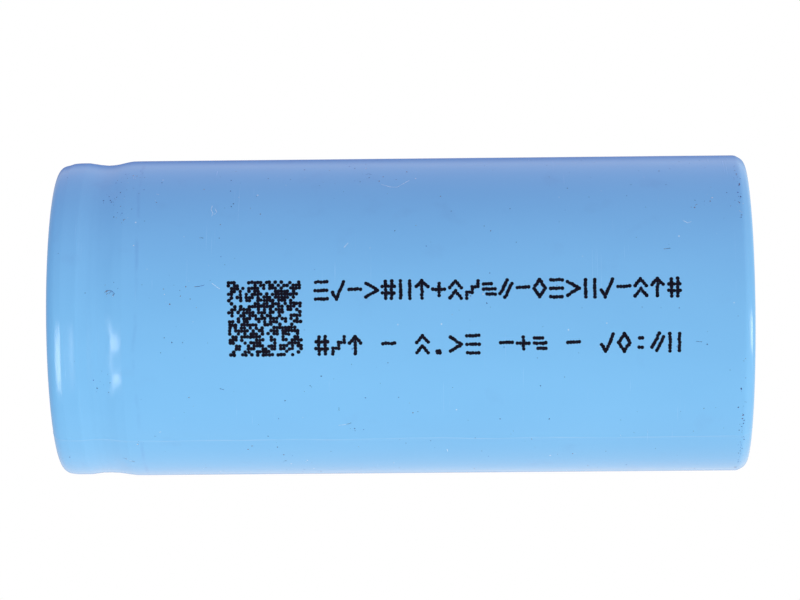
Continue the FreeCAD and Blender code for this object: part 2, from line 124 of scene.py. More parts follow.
# Dents at the knee of the dip: angle round the cell in degrees, half width and half height in millimetres,
# and share of the depth.
DENTS = (
    (10.0, 1.3, 0.66, 1.0),
    (23.0, 1.1, 0.74, 1.15),
    (-27.0, 1.5, 0.55, 0.6),
    (-52.0, 1.0, 0.50, 0.9),
    (71.0, 1.8, 0.60, 0.7),
    (112.0, 1.3, 0.60, 0.8),
    (146.0, 2.2, 0.60, 0.6),
    (-88.0, 1.6, 0.60, 0.8),
    (-121.0, 1.2, 0.55, 1.0),
    (-158.0, 1.9, 0.60, 0.7),
)

# Where the film stands farther out than its plain section, or farther in. The first five places are over the
# groove, which the film bridges more there, or less. Then come a flatter shoulder and a pinch at the base.
# Each row holds the angle round the cell and the half width in degrees, then the distance below the top, the
# half height and how far the film stands out, in millimetres.
UNEVEN_PLACES = (
    (13.0, 28.0, 4.45, 1.7, 0.24),
    (88.0, 34.0, 6.3, 1.0, -0.09),
    (134.0, 22.0, 4.5, 1.7, 0.12),
    (-90.0, 34.0, 5.5, 1.3, -0.15),
    (-152.0, 24.0, 4.5, 1.7, 0.15),
    (-90.0, 40.0, 0.5, 0.8, -0.22),
    (18.8, 2.2, 69.2, 0.5, -0.09),
)

# The ink, laid down as overlapping dots by a jet.
DOT_RADIUS = 0.195 * MM
DOT_HEIGHT = 0.006 * MM
DOT_SIDES = 12
DOT_SIZES = (0.93, 1.05)  # least and most, as shares
DOT_RISES = (0.8, 1.2)  # least and most, as shares
DOT_UNEVEN = 0.05
DOT_PITCH = 0.275 * MM
DOT_WANDER = 0.020 * MM
PRINT_SEED = 32
MARK_WIDTH = 1.12 * MM
MARK_HEIGHT = 1.70 * MM
MARK_PITCH = 1.65 * MM
ROW_START = 43.2 * MM  # height where both rows begin; they run down the cell
ROW_SWAY = 0.03 * MM
ROW_SWAY_TURN = 0.9  # radians a mark
FIRST_ROW = -2.25 * MM  # distances round the cell from the front to the middle of each row
SECOND_ROW = 3.15 * MM
CODE_SIDE = 25
CODE_PITCH = 0.29 * MM
CODE_ROW_PITCH = 0.298 * MM
CODE_START = 51.8 * MM  # height of the square's first column
CODE_TOP = -3.1 * MM  # distance round the cell from the front to its first row
CODE_LEAN = 0.03  # each row starts lower by this share of the pitch
CODE_FILL = 0.60  # share of the places that get a dot

# Each mark is a list of polylines in a square of side 1, x along the row and y down. None of them is a letter
# or a digit.
MARKS = {
    "rungs": [[(0, 0), (1, 0)], [(0, 0.5), (1, 0.5)], [(0, 1), (1, 1)]],
    "tick": [[(0, 0.6), (0.35, 1), (1, 0)]],
    "steps": [[(0, 1), (0, 0.67), (0.5, 0.67), (0.5, 0.33), (1, 0.33), (1, 0)]],
    "wedge": [[(0, 0.1), (1, 0.5), (0, 0.9)]],
    "plus": [[(0, 0.5), (1, 0.5)], [(0.5, 0.15), (0.5, 0.85)]],
    "hash": [[(0.25, 0), (0.25, 1)], [(0.8, 0), (0.8, 1)], [(0, 0.3), (1, 0.3)], [(0, 0.7), (1, 0.7)]],
    "diamond": [[(0.5, 0), (1, 0.5), (0.5, 1), (0, 0.5), (0.5, 0)]],
    "bars": [[(0.1, 0), (0.1, 1)], [(0.9, 0), (0.9, 1)]],
    "arrow": [[(0.5, 1), (0.5, 0)], [(0, 0.35), (0.5, 0), (1, 0.35)]],
    "roofs": [[(0, 0.4), (0.5, 0), (1, 0.4)], [(0, 1), (0.5, 0.6), (1, 1)]],
    "slashes": [[(0, 0.8), (0.6, 0)], [(0.4, 1), (1, 0.2)]],
    "brick": [[(0, 0.2), (0.7, 0.2)], [(0.3, 0.8), (1, 0.8)], [(0, 0.5), (1, 0.5)]],
    "dash": [[(0, 0.45), (1, 0.42)]],
    "point": [[(0.3, 0.9), (0.55, 0.9)], [(0.3, 1), (0.55, 1)]],
    "pair": [[(0.35, 0.25), (0.6, 0.25)], [(0.35, 0.8), (0.6, 0.8)]],
    "gap": [],
}
FIRST_LINE = (
    "rungs tick dash wedge hash bars arrow plus roofs steps brick slashes dash "
    "diamond rungs wedge bars tick dash roofs arrow hash"
).split()
SECOND_LINE = (
    "hash steps arrow gap dash gap roofs point wedge rungs gap dash plus brick gap dash gap "
    "tick diamond pair slashes bars"
).split()

# Dirt that the photo shows: angle round the cell in degrees, height and radius of the patch that it is
# scattered over in millimetres, and how many specks.
DIRT_PATCHES = (
    (-48.0, 63.6, 1.2, 16),
    (-60.0, 62.2, 1.6, 18),
    (-38.0, 62.8, 1.2, 12),
    (-8.0, 63.4, 0.7, 11),
    (48.0, 59.6, 0.15, 3),
    (62.0, 68.5, 0.10, 3),
    (53.0, 61.2, 0.6, 5),
    (-47.0, 59.4, 0.7, 4),
    (-42.0, 5.4, 1.4, 9),
    (18.0, 0.9, 0.25, 6),
    (29.5, 1.3, 0.20, 3),
    (34.5, 0.9, 0.15, 2),
    (-58.0, 40.0, 5.0, 14),
    (-50.0, 50.0, 4.0, 12),
    (-8.0, 58.0, 3.0, 12),
    (24.0, 64.5, 2.0, 10),
    (60.0, 44.0, 6.0, 16),
)
LOWEST_DIRT = 0.75 * MM  # no speck lies lower

# Dirt caught along the base corner: from one angle in degrees to another, and how many specks.
CORNER_DIRT = ((-66.0, -34.0, 34), (36.0, 82.0, 40))
CORNER_DIRT_HEIGHT = 1.15 * MM
CORNER_DIRT_SPREAD = 0.16 * MM

# Dirt scattered over the whole wall.
LOOSE_DIRT = 420
LOOSE_DIRT_SPAN = (1.4 * MM, DIP_START - 1 * MM)

# One speck of dirt.
DIRT_SEED = 5
DIRT_RADIUS = 0.052 * MM
SMALLEST_DIRT = 0.5  # share of the radius
DIRT_RISE = 0.006 * MM
DIRT_SIDES = 7
DIRT_UNEVEN = 0.35

# Scratches that the photo shows: the angle in degrees and the height in millimetres of each of their points.
DARK_SCRATCHES = (
    ((46.0, 59.1), (45.7, 58.9)),
    ((-9.7, 55.1), (-9.9, 54.6), (-10.4, 54.1)),
    ((43.2, 41.2), (42.9, 40.5), (42.1, 39.9)),
    ((27.0, 52.8), (27.3, 52.4)),
    ((62.3, 63.1), (63.2, 62.6)),
    ((63.9, 62.5), (64.8, 62.0)),
    ((26.0, 43.9), (26.8, 43.7)),
    ((35.2, 41.1), (36.4, 41.1)),
    ((-28.2, 54.7), (-28.0, 54.3)),
    ((-60.6, 38.4), (-61.5, 38.2), (-61.0, 37.8)),
    ((-6.6, 63.2), (-7.6, 63.0), (-8.6, 63.3), (-8.7, 63.8), (-7.9, 64.0)),
    ((-22.0, 8.9), (-22.3, 8.2)),
    ((11.0, 5.9), (11.2, 5.3)),
)
PALE_SCRATCHES = (
    ((-42.4, 53.6), (-40.5, 53.7), (-38.9, 53.5), (-37.4, 53.6)),
    ((-41.0, 53.3), (-39.2, 53.1), (-38.2, 53.4)),
    ((-23.8, 40.4), (-25.6, 40.0)),
    ((-53.6, 36.8), (-51.9, 35.9), (-51.8, 35.2), (-56.2, 34.0)),
    ((-10.9, 53.4), (-9.8, 53.0), (-8.8, 52.6)),
    ((-33.5, 6.9), (-32.4, 6.5), (-33.0, 6.1)),
    ((57.0, 30.5), (59.0, 30.4)),
)

# The specks that a scratch is made of.
SCRATCH_SEED = 11
SCRATCH_RADIUS = 0.032 * MM
SCRATCH_PITCH = 0.045 * MM
SCRATCH_SIZES = (0.5, 1.2)  # least and most, as shares
SCRATCH_RISE = 0.003 * MM
SCRATCH_SIDES = 6
SCRATCH_UNEVEN = 0.2
SCRATCH_WANDER = 0.012 * MM

# Every dot and speck is a low dome, with its foot sunk into the film. Its rim's rise and its flat top's
# radius are shares of the dome's own.
FOOT_DEPTH = 0.004 * MM
RIM_RISE = 0.35
DOME_TOP = 0.72

# The studio. The camera's place, aim, roll and lens are fitted to the cell's outline in the photo.
CAMERA_PLACE = Vector((-7.19, -361.06, 27.76)) * MM
CAMERA_AIM = Vector((1.63, 0.0, 35.24)) * MM
CAMERA_ROLL = 0.0088
CAMERA_LENS = 158.2
SENSOR = 36.0
LIGHT_DISTANCE = 0.6  # metres from the cell's middle
FLOOR_REACH = 6.0  # metres from the axis to each side
FLOOR_DROP = 0.02 * MM

# Sockets of the Mix node, when it mixes colours.
MIX_COLOURS = (6, 7)
MIX_RESULT = 2


# ---- shape helpers


def round_corner(before, corner, after, radius):
    """Points along the arc that rounds one corner of the section."""
    back = (before - corner).normalized()
    ahead = (after - corner).normalized()
    turn = math.pi - back.angle(ahead)
    start = corner + back * radius * math.tan(turn / 2)
    centre = corner + (back + ahead).normalized() * radius / math.cos(turn / 2)
    way = math.copysign(turn, ahead.x * back.y - ahead.y * back.x)
    count = max(3, round(turn / BEND_STEP))
    arm = start - centre
    points = []
    for i in range(count + 1):
        cos = math.cos(way * i / count)
        sin = math.sin(way * i / count)
        points.append(centre + Vector((arm.x * cos - arm.y * sin, arm.x * sin + arm.y * cos)))
    return points


def film_corners():
    """Corners of the film's middle line, as (radius, height), with the radius that each is bent to."""
    return (
        (Vector((BASE_LIP, FOOT)), 0),
        (Vector((WALL - BASE_FACET, FOOT)), BASE_BEND),
        (Vector((WALL, FOOT + BASE_FACET_RISE)), BASE_BEND),
        (Vector((WALL, DIP_START)), START_BEND),
        (Vector((KNEE, KNEE_HEIGHT)), KNEE_BEND),
        (Vector((DIP, DIP_LOW)), LOW_BEND),
        (Vector((COLLAR, DIP_END)), RISE_BEND),
        (Vector((COLLAR, TAPER_HEIGHT)), RISE_BEND),
        (Vector((COLLAR - TAPER, TOP)), TOP_BEND),
        (Vector((TOP_LIP, TOP)), 0),
    )


def film_line():
    """The middle line with its corners rounded."""
    corners = film_corners()
    points = [corners[0][0]]
    for i in range(1, len(corners) - 1):
        points += round_corner(corners[i - 1][0], corners[i][0], corners[i + 1][0], corners[i][1])
    points.append(corners[-1][0])
    return points


def divide(points):
    """The same line with its long straight runs cut into steps."""
    made = [points[0]]
    for a, b in zip(points, points[1:]):
        step = DIP_STEP if (a.y + b.y) / 2 > DIP_START - FINE_MARGIN else WALL_STEP
        count = max(1, math.ceil((b - a).length / step))
        made += [a.lerp(b, i / count) for i in range(1, count + 1)]
    return made


def normals(points):
    """Outward normals of the section line."""
    made = []
    for i in range(len(points)):
        along = points[min(i + 1, len(points) - 1)] - points[max(i - 1, 0)]
        made.append(Vector((along.y, -along.x)).normalized())
    return made


def film_angles():
    """Angles of the mesh columns: even ones, and finer ones where the flattened tube left its creases."""
    angles = [2 * math.pi * i / PLAIN_COLUMNS for i in range(PLAIN_COLUMNS)]
    reach = CREASE_STEP * (CREASE_COLUMNS + 0.5)
    for crease in CREASES:
        angles = [a for a in angles if abs(a - crease) > reach]
        angles += [crease + CREASE_STEP * i for i in range(-CREASE_COLUMNS, CREASE_COLUMNS + 1)]
    return sorted(angles)


def on_cell(angle, radius, height):
    """A place from its angle round the cell, counted from the front toward -X, its radius and its height."""
    return Vector((-radius * math.sin(angle), -radius * math.cos(angle), height))


def hump(distance, width):
    """A smooth hill: 1 in its middle, and near 0 at twice its width."""
    return math.exp(-((distance / width) ** 2))


# ---- what shrinking did to the film (a noise coordinate that is a plain number only picks the pattern)


def crease_lift(angle, height):
    """The ridges along the cell that the flattened tube left."""
    wander = CREASE_WANDER * noise.noise(Vector((height / CREASE_WANDER_LENGTH, 0.4, 0.7)))
    strength = 0.75 + 0.4 * noise.noise(Vector((height / CREASE_PATCH_LENGTH, 2.6, 9.1)))
    lift = 0
    for crease in CREASES:
        away = math.remainder(angle - crease, 2 * math.pi) * WALL - wander
        lift += CREASE_HEIGHT * strength * hump(away, CREASE_WIDTH)
    return lift


def swell_lift(angle, height):
    """Broad and very low swells."""
    place = on_cell(angle, WALL / SWELL_LENGTH, height / (SWELL_LENGTH * SWELL_STRETCH))
    return SWELL * (0.5 + 0.5 * noise.noise(place))


def pucker_lift(angle, height):
    """Small puckers where the film bridges the groove."""
    middle = (DIP_START + DIP_LOW) / 2
    place = on_cell(angle, WALL / DIP_PUCKER_LENGTH, height / (DIP_PUCKER_STRETCH * DIP_PUCKER_LENGTH))
    return DIP_PUCKER * max(0, 0.5 + noise.noise(place)) * hump(height - middle, DIP_PUCKER_SPAN)


def dent_lift(angle, height):
    """The small dents where the film fell into the groove, at the knee of the dip."""
    lift = 0
    for degrees, wide, tall, share in DENTS:
        away = math.remainder(angle - math.radians(degrees), 2 * math.pi) * WALL
        lift -= DENT_DEPTH * share * hump(away, wide * MM) * hump(height - DENT_HEIGHT, tall * MM)
    return lift


def uneven_lift(angle, height):
    """The places where the film stands farther out than its plain section, or farther in."""
    lift = 0
    for degrees, wide, below, tall, out in UNEVEN_PLACES:
        away = math.remainder(angle - math.radians(degrees), 2 * math.pi)
        near = hump(height - TOP + below * MM, tall * MM)
        lift += out * MM * hump(away, math.radians(wide)) * near
    return lift


def step_lift(angle, height):
    """The faint ridge round the cell just below the dip."""
    wander = STEP_WANDER * noise.noise(Vector((math.sin(angle), math.cos(angle), 3.3)))
    strength = max(0, 0.6 + 0.8 * noise.noise(on_cell(angle, 2.2, 5.1)))
    return STEP_HEIGHT * strength * hump(height - DIP_START + STEP_BELOW_DIP - wander, STEP_WIDTH)


def wall_lift(angle, height):
    """How far the film stands off its plain section, on the wall."""
    plain = swell_lift(angle, height) + crease_lift(angle, height) + step_lift(angle, height)
    return plain + pucker_lift(angle, height) + dent_lift(angle, height) + uneven_lift(angle, height)


def lip_lift(angle, inward):
    """The top fold gathers a little toward its lip."""
    place = on_cell(angle, TOP_LIP / LIP_PUCKER_LENGTH, 1.7)
    return LIP_PUCKER * abs(noise.noise(place)) * inward


def film_lift(angle, point, normal):
    """Stand-off of the film: none under the base fold, which the cell's weight presses flat."""
    on_wall = max(0, 1 - abs(normal.y))
    on_top = max(0, normal.y)
    lift = wall_lift(angle, point.y) * on_wall + crease_lift(angle, point.y) * on_top
    if normal.y > FACES_UP:
        lift += lip_lift(angle, past_top_bend(point))
    return lift


def past_top_bend(point):
    """0 at the bend of the top fold, growing to 1 toward its lip."""
    return min(1, max(0, (COLLAR - TOP_BEND - point.x) / LIP_REACH))


def past_base_bend(point):
    """0 at the bend of the base fold, growing to 1 toward its lip."""
    return min(1, max(0, (WALL - BASE_FACET - BASE_BEND - point.x) / LIP_REACH))


def lip_shift(angle, point):
    """The cut edges of the tube don't run true."""
    near = past_base_bend(point) if point.y < TOP / 2 else past_top_bend(point)
    place = on_cell(angle, BASE_LIP / LIP_WANDER_LENGTH, point.y / END_PATTERN_LENGTH)
    return LIP_WANDER * near * noise.noise(place)


def skin_line():
    """Heights and radii of the film's outside, without its lifts, in order of height."""
    points = divide(film_line())
    places = []
    for point, normal in zip(points, normals(points)):
        if normal.x > FACES_OUT:
            places.append((point.y + normal.y * FILM / 2, point.x + normal.x * FILM / 2))
    return sorted(places)


SKIN = skin_line()  # measured once, for the thousands of dots and specks that lie on it


def skin(angle, height):
    """Radius of the film's outside at a place on its wall."""
    after = min(max(1, bisect.bisect(SKIN, (height, 0))), len(SKIN) - 1)
    (low, low_radius), (high, high_radius) = SKIN[after - 1], SKIN[after]
    share = min(1, max(0, (height - low) / max(high - low, SMALLEST_STEP)))
    return low_radius + (high_radius - low_radius) * share + wall_lift(angle, height)


# ---- mesh pieces


def add_piece(name, mesh_data, material):
    """A shown piece that rides on the cell."""
    mesh = bpy.data.meshes.new(name)
    mesh_data.to_mesh(mesh)
    mesh_data.free()
    piece = bpy.data.objects.new(name, mesh)
    bpy.context.scene.collection.objects.link(piece)
    mesh.materials.append(material)
    mesh.shade_smooth()
    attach(piece, "cell")
    return piece


def film_ring(bm, angles, point, normal, side):
    """One ring of vertices, on the outside (side 1) or on the inside (side -1) of the film."""
    ring = []
    for angle in angles:
        off = side * FILM / 2 + film_lift(angle, point, normal)
        radius = point.x + normal.x * off + lip_shift(angle, point)
        ring.append(bm.verts.new(on_cell(angle, radius, point.y + normal.y * off)))
    return ring


def join_rings(bm, rings):
    """Faces between each ring and the next, and from the last to the first."""
    for a, b in zip(rings, rings[1:] + rings[:1]):
        for i in range(len(a)):
            j = (i + 1) % len(a)
            bm.faces.new((a[i], a[j], b[j], b[i]))


def sharpen(rings):
    """The film's cut edges are sharp."""
    for ring in rings:
        for i in range(len(ring)):
            edge = next(e for e in ring[i].link_edges if e.other_vert(ring[i]) is ring[(i + 1) % len(ring)])
            edge.smooth = False


def build_sleeve(material):
    """The film as one closed mesh, in place of the CAD sleeve."""
    points = divide(film_line())
    outward = normals(points)
    angles = film_angles()
    bm = bmesh.new()
    outer = [film_ring(bm, angles, p, n, 1) for p, n in zip(points, outward)]
    inner = [film_ring(bm, angles, p, n, -1) for p, n in zip(points, outward)]
    join_rings(bm, outer + inner[::-1])
    sharpen((outer[0], outer[-1], inner[0], inner[-1]))
    bmesh.ops.recalc_face_normals(bm, faces=bm.faces)
    sleeve = add_piece("printed_sleeve", bm, material)
    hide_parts("shrink_sleeve")
    return sleeve


def dome_ring(bm, angle, height, radius, level, uneven):
    """A ring of vertices on the film; uneven holds the share by which each one is off the circle."""
    ring = []
    for i, share in enumerate(uneven):
        a = 2 * math.pi * i / len(uneven)
        r = radius * (1 + share)
        turn = angle + r * math.sin(a) / WALL
        up = height + r * math.cos(a)
        ring.append(bm.verts.new(on_cell(turn, skin(turn, up) + level, up)))
    return ring


def add_dome(bm, angle, height, radius, rise, uneven):
    """A low closed dome on the film."""
    sides = len(uneven)
    rings = []
    for reach, level in ((1, -FOOT_DEPTH), (1, rise * RIM_RISE), (DOME_TOP, rise)):
        rings.append(dome_ring(bm, angle, height, radius * reach, level, uneven))
    for low, high in zip(rings, rings[1:]):
        for i in range(sides):
            j = (i + 1) % sides
            bm.faces.new((low[i], low[j], high[j], high[i]))
    bm.faces.new(rings[0][::-1])
    bm.faces.new(rings[-1])


def ink_dot(bm, along, across, rng):
    """One drop of ink, at a distance along the cell from its flat end and a distance round from the front."""
    size = DOT_RADIUS * rng.uniform(*DOT_SIZES)
    rise = DOT_HEIGHT * rng.uniform(*DOT_RISES)
    along += rng.gauss(0, DOT_WANDER)
    across += rng.gauss(0, DOT_WANDER)
    uneven = [rng.uniform(-DOT_UNEVEN, DOT_UNEVEN) for _ in range(DOT_SIDES)]
    add_dome(bm, across / WALL, along, size, rise, uneven)


def stroke_dots(stroke):
    """Evenly spaced places along one polyline of a mark, in metres."""
    points = [Vector((x * MARK_WIDTH, y * MARK_HEIGHT)) for x, y in stroke]
    places = [points[0]]
    for a, b in zip(points, points[1:]):
        count = max(1, round((b - a).length / DOT_PITCH))
        places += [a.lerp(b, i / count) for i in range(1, count + 1)]
    return places


def print_row(bm, marks, across, rng):
    """One row of marks, which sways a little as a row from a moving jet does."""
    for i, mark in enumerate(marks):
        sway = ROW_SWAY * math.sin(i * ROW_SWAY_TURN)
        for stroke in MARKS[mark]:
            for place in stroke_dots(stroke):
                along = ROW_START - i * MARK_PITCH - place.x
                ink_dot(bm, along, across - MARK_HEIGHT / 2 + place.y + sway, rng)


def print_code(bm, rng):
    """A square of dots thrown at random, which codes nothing."""
    for row in range(CODE_SIDE):
        for column in range(CODE_SIDE):
            if rng.random() > CODE_FILL:
                continue
            along = CODE_START - column * CODE_PITCH - row * CODE_PITCH * CODE_LEAN
            ink_dot(bm, along, CODE_TOP + row * CODE_ROW_PITCH, rng)


def build_print(material):
    """Both rows of marks as one piece, and the square of dots as another."""
    rng = random.Random(PRINT_SEED)
    rows = bmesh.new()
    print_row(rows, FIRST_LINE, FIRST_ROW, rng)
    print_row(rows, SECOND_LINE, SECOND_ROW, rng)
    bmesh.ops.recalc_face_normals(rows, faces=rows.faces)
    add_piece("ink_rows", rows, material)
    code = bmesh.new()
    print_code(code, rng)
    bmesh.ops.recalc_face_normals(code, faces=code.faces)
    add_piece("ink_square", code, material)


def dirt_speck(bm, angle, height, rng):
    """One speck; small ones are the most common."""
    size = DIRT_RADIUS * (SMALLEST_DIRT + rng.random() ** 2)
    uneven = [rng.uniform(-DIRT_UNEVEN, DIRT_UNEVEN) for _ in range(DIRT_SIDES)]
    add_dome(bm, angle, height, size, DIRT_RISE, uneven)


def build_dirt(material):
    """The specks in patches, then those along the base corner, then the loose ones."""
    rng = random.Random(DIRT_SEED)
    bm = bmesh.new()
    for degrees, height, spread, count in DIRT_PATCHES:
        for _ in range(count):
            turn = math.radians(degrees) + rng.gauss(0, spread / 2) * MM / WALL
            dirt_speck(bm, turn, max(LOWEST_DIRT, height * MM + rng.gauss(0, spread / 2) * MM), rng)
    for start, end, count in CORNER_DIRT:
        for _ in range(count):
            height = max(LOWEST_DIRT, rng.gauss(CORNER_DIRT_HEIGHT, CORNER_DIRT_SPREAD))
            dirt_speck(bm, math.radians(rng.uniform(start, end)), height, rng)
    for _ in range(LOOSE_DIRT):
        dirt_speck(bm, rng.uniform(-math.pi, math.pi), rng.uniform(*LOOSE_DIRT_SPAN), rng)
    bmesh.ops.recalc_face_normals(bm, faces=bm.faces)
    add_piece("dirt_specks", bm, material)


def add_scratch(bm, points, rng):
    """A thin chain of specks along one scratch."""
    for (a, low), (b, high) in zip(points, points[1:]):
        start = Vector((math.radians(a) * WALL, low * MM))
        end = Vector((math.radians(b) * WALL, high * MM))
        count = max(2, round((end - start).length / SCRATCH_PITCH))
        for i in range(count):
            place = start.lerp(end, i / count)
            size = SCRATCH_RADIUS * rng.uniform(*SCRATCH_SIZES)
            uneven = [rng.uniform(-SCRATCH_UNEVEN, SCRATCH_UNEVEN) for _ in range(SCRATCH_SIDES)]
            turn = (place.x + rng.gauss(0, SCRATCH_WANDER)) / WALL
            add_dome(bm, turn, place.y, size, SCRATCH_RISE, uneven)


def build_scratches(name, scratches, material):
    """One piece that holds a whole list of scratches."""
    rng = random.Random(SCRATCH_SEED)
    bm = bmesh.new()
    for points in scratches:
        add_scratch(bm, points, rng)
    bmesh.ops.recalc_face_normals(bm, faces=bm.faces)
    add_piece(name, bm, material)


# ---- material helpers


class Shader:
    """A material's node tree, with short names for the nodes used here. Lengths are in millimetres."""

    def __init__(self, name):
        self.material = bpy.data.materials.new(name)
        self.material.use_nodes = True
        self.tree = self.material.node_tree
        self.surface = self.tree.nodes["Principled BSDF"]
        self.place = self.tree.nodes.new("ShaderNodeTexCoord").outputs["Object"]

    def node(self, kind, **settings):
        made = self.tree.nodes.new(kind)
        for key, value in settings.items():
            setattr(made, key, value)
        return made

    def link(self, source, target):
        self.tree.links.new(source, target)

    def feed(self, node, index, value):
        """Links a socket, or sets it if the value is a number."""
        if isinstance(value, bpy.types.NodeSocket):
            self.link(value, node.inputs[index])
        else:
            node.inputs[index].default_value = value

    def set(self, **values):
        for name, value in values.items():
            self.feed(self.surface, name.replace("_", " "), value)

    def stretched(self, x, y, z):
        """Object coordinates in millimetres, divided by the given lengths."""
        made = self.node("ShaderNodeVectorMath", operation="MULTIPLY")
        self.link(self.place, made.inputs[0])
        made.inputs[1].default_value = (1 / (x * MM), 1 / (y * MM), 1 / (z * MM))
        return made.outputs[0]

    def noise(self, x, y=None, z=None, detail=2.0, rough=0.5):
        made = self.node("ShaderNodeTexNoise")
        self.link(self.stretched(x, y or x, z or x), made.inputs["Vector"])
        made.inputs["Scale"].default_value = 1.0
        made.inputs["Detail"].default_value = detail
        made.inputs["Roughness"].default_value = rough
        return made.outputs["Fac"]

    def cells(self, size):
        made = self.node("ShaderNodeTexVoronoi")
        self.link(self.stretched(size, size, size), made.inputs["Vector"])
        made.inputs["Scale"].default_value = 1.0
        return made.outputs

    def math(self, operation, a, b=0.0, c=0.0):
        made = self.node("ShaderNodeMath", operation=operation)
        for i, value in enumerate((a, b, c)):
            self.feed(made, i, value)
        return made.outputs[0]

    def span(self, value, low, high, to_low=0.0, to_high=1.0):
        made = self.node("ShaderNodeMapRange")
        for i, v in enumerate((value, low, high, to_low, to_high)):
            self.feed(made, i, v)
        return made.outputs[0]

    def mix(self, fac, a, b):
        """Mix of two colours, each a socket or (r, g, b)."""
        made = self.node("ShaderNodeMix", data_type="RGBA")
        self.feed(made, 0, fac)
        for index, value in zip(MIX_COLOURS, (a, b)):
            self.feed(made, index, (*value, 1.0) if isinstance(value, tuple) else value)
        return made.outputs[MIX_RESULT]

    def bump(self, height, distance, onto=None):
        """Bump whose height is in millimetres for a change of 1 in the input."""
        made = self.node("ShaderNodeBump")
        made.inputs["Distance"].default_value = distance * MM
        self.link(height, made.inputs["Height"])
        if onto is not None:
            self.link(onto, made.inputs["Normal"])
        return made.outputs[0]

    def done(self, colour, roughness, normal):
        self.feed(self.surface, "Base Color", colour)
        self.feed(self.surface, "Roughness", roughness)
        self.link(normal, self.surface.inputs["Normal"])
        return self.material


# ---- materials of the outside


def film_stains(s, colour):
    """Dust under and on the film: dark and pale specks, and soft greyish smudges."""
    dark = s.span(s.cells(2.0)[0], 0.018, 0.042, 1.0, 0.0)
    colour = s.mix(s.math("MULTIPLY", dark, 0.75), colour, (0.040, 0.070, 0.300))
    pale = s.span(s.cells(3.1)[0], 0.020, 0.036, 1.0, 0.0)
    colour = s.mix(s.math("MULTIPLY", pale, 0.6), colour, (0.62, 0.74, 0.88))
    smudge = s.span(s.noise(3.5, detail=4), 0.62, 0.80)
    return s.mix(s.math("MULTIPLY", smudge, 0.16), colour, (0.12, 0.28, 0.60))


def film_scuffs(s):
    """Thin pale rubs that run round the cell, in places."""
    lines = s.span(s.noise(9, 9, 0.10, detail=3), 0.66, 0.74)
    places = s.span(s.noise(6, detail=3), 0.52, 0.66)
    return s.math("MULTIPLY", lines, places)


def crease_whitening(s):
    """Stress whitening along both creases: within 0.1 mm or so of the plane that holds them and the axis."""
    across = s.node("ShaderNodeVectorMath", operation="DOT_PRODUCT")
    s.link(s.place, across.inputs[0])
    across.inputs[1].default_value = (-math.cos(CREASES[0]) / MM, math.sin(CREASES[0]) / MM, 0)
    wander = s.span(s.noise(7, detail=2), 0.25, 0.75, -0.16, 0.16)
    away = s.math("ABSOLUTE", s.math("SUBTRACT", across.outputs["Value"], wander))
    patchy = s.span(s.noise(3, detail=2), 0.35, 0.65, 0.2, 1.0)
    return s.math("MULTIPLY", s.span(away, 0.02, 0.10, 0.16, 0.0), patchy)


def kink_shade_line(s):
    """Painted shade: an uneven dark line where the film stops clinging to the can and kinks outward, just
    below the dip.
    """
    height = s.node("ShaderNodeSeparateXYZ")
    s.link(s.place, height.inputs[0])
    wander = s.span(s.noise(9, detail=3), 0.25, 0.75, -0.3 * MM, 0.3 * MM)
    away = s.math("SUBTRACT", s.math("ADD", height.outputs["Z"], wander), DIP_START - STEP_BELOW_DIP)
    near = s.span(s.math("ABSOLUTE", away), 0.04 * MM, 0.26 * MM, 1.0, 0.0)
    return s.math("MULTIPLY", near, s.span(s.noise(3.2, detail=3), 0.42, 0.66, 0.0, 0.32))


def film_material():
    """Sky-blue PVC heat-shrink film: smooth and glossy, with orange peel, specks, light rubs and a painted
    line of shade below the dip.
    """
    s = Shader("pvc_film")
    cloud = s.noise(11, 11, 22, detail=3)
    colour = s.mix(s.span(cloud, 0.3, 0.7), (0.160, 0.456, 0.800), (0.172, 0.480, 0.828))
    colour = film_stains(s, colour)
    scuffs = film_scuffs(s)
    colour = s.mix(s.math("MULTIPLY", scuffs, 0.13), colour, (0.50, 0.68, 0.86))
    colour = s.mix(crease_whitening(s), colour, (0.60, 0.76, 0.92))
    # painted shade: the darker blue along the film's kink just below the dip
    colour = s.mix(kink_shade_line(s), colour, (0.10, 0.26, 0.64))
    rough = s.span(s.noise(2.4, detail=3), 0.3, 0.7, 0.15, 0.20)
    rough = s.math("MULTIPLY_ADD", scuffs, 0.22, rough)
    peel = s.bump(s.noise(0.9, detail=2), 0.0022)
    normal = s.bump(s.noise(0.16, detail=2), 0.0005, peel)
    s.set(IOR=1.52)
    return s.done(colour, rough, normal)


def ink_material():
    """Blue-black solvent ink: dense, a little uneven, duller than the film."""
    s = Shader("jet_ink")
    thin = s.span(s.noise(0.5, detail=3), 0.35, 0.75)
    colour = s.mix(thin, (0.0030, 0.0028, 0.0080), (0.0085, 0.0080, 0.0200))
    rough = s.span(s.noise(0.2), 0.3, 0.7, 0.42, 0.60)
    s.set(Specular_IOR_Level=0.05)
    return s.done(colour, rough, s.bump(s.noise(0.08), 0.001))


def dirt_material():
    """Specks of dust and rust stuck to the film: mostly dark blue-grey, some brown."""
    s = Shader("dirt")
    kind = s.noise(1.3, detail=0)
    colour = s.mix(s.span(kind, 0.30, 0.48), (0.060, 0.130, 0.480), (0.016, 0.012, 0.160))
    colour = s.mix(s.span(kind, 0.54, 0.60), colour, (0.130, 0.040, 0.060))
    colour = s.mix(s.span(kind, 0.66, 0.68), colour, (0.45, 0.58, 0.75))
    s.set(Specular_IOR_Level=0.04)
    return s.done(colour, s.span(kind, 0.3, 0.7, 0.6, 0.9), s.bump(s.noise(0.05), 0.002))


def scuff_material():
    """Film whitened by a scratch."""
    s = Shader("whitened_film")
    colour = s.mix(s.span(s.noise(0.4), 0.35, 0.65), (0.42, 0.60, 0.82), (0.60, 0.75, 0.90))
    rough = s.span(s.noise(0.2), 0.3, 0.7, 0.45, 0.60)
    return s.done(colour, rough, s.bump(s.noise(0.05), 0.001))


# ---- materials of the inside and the ends


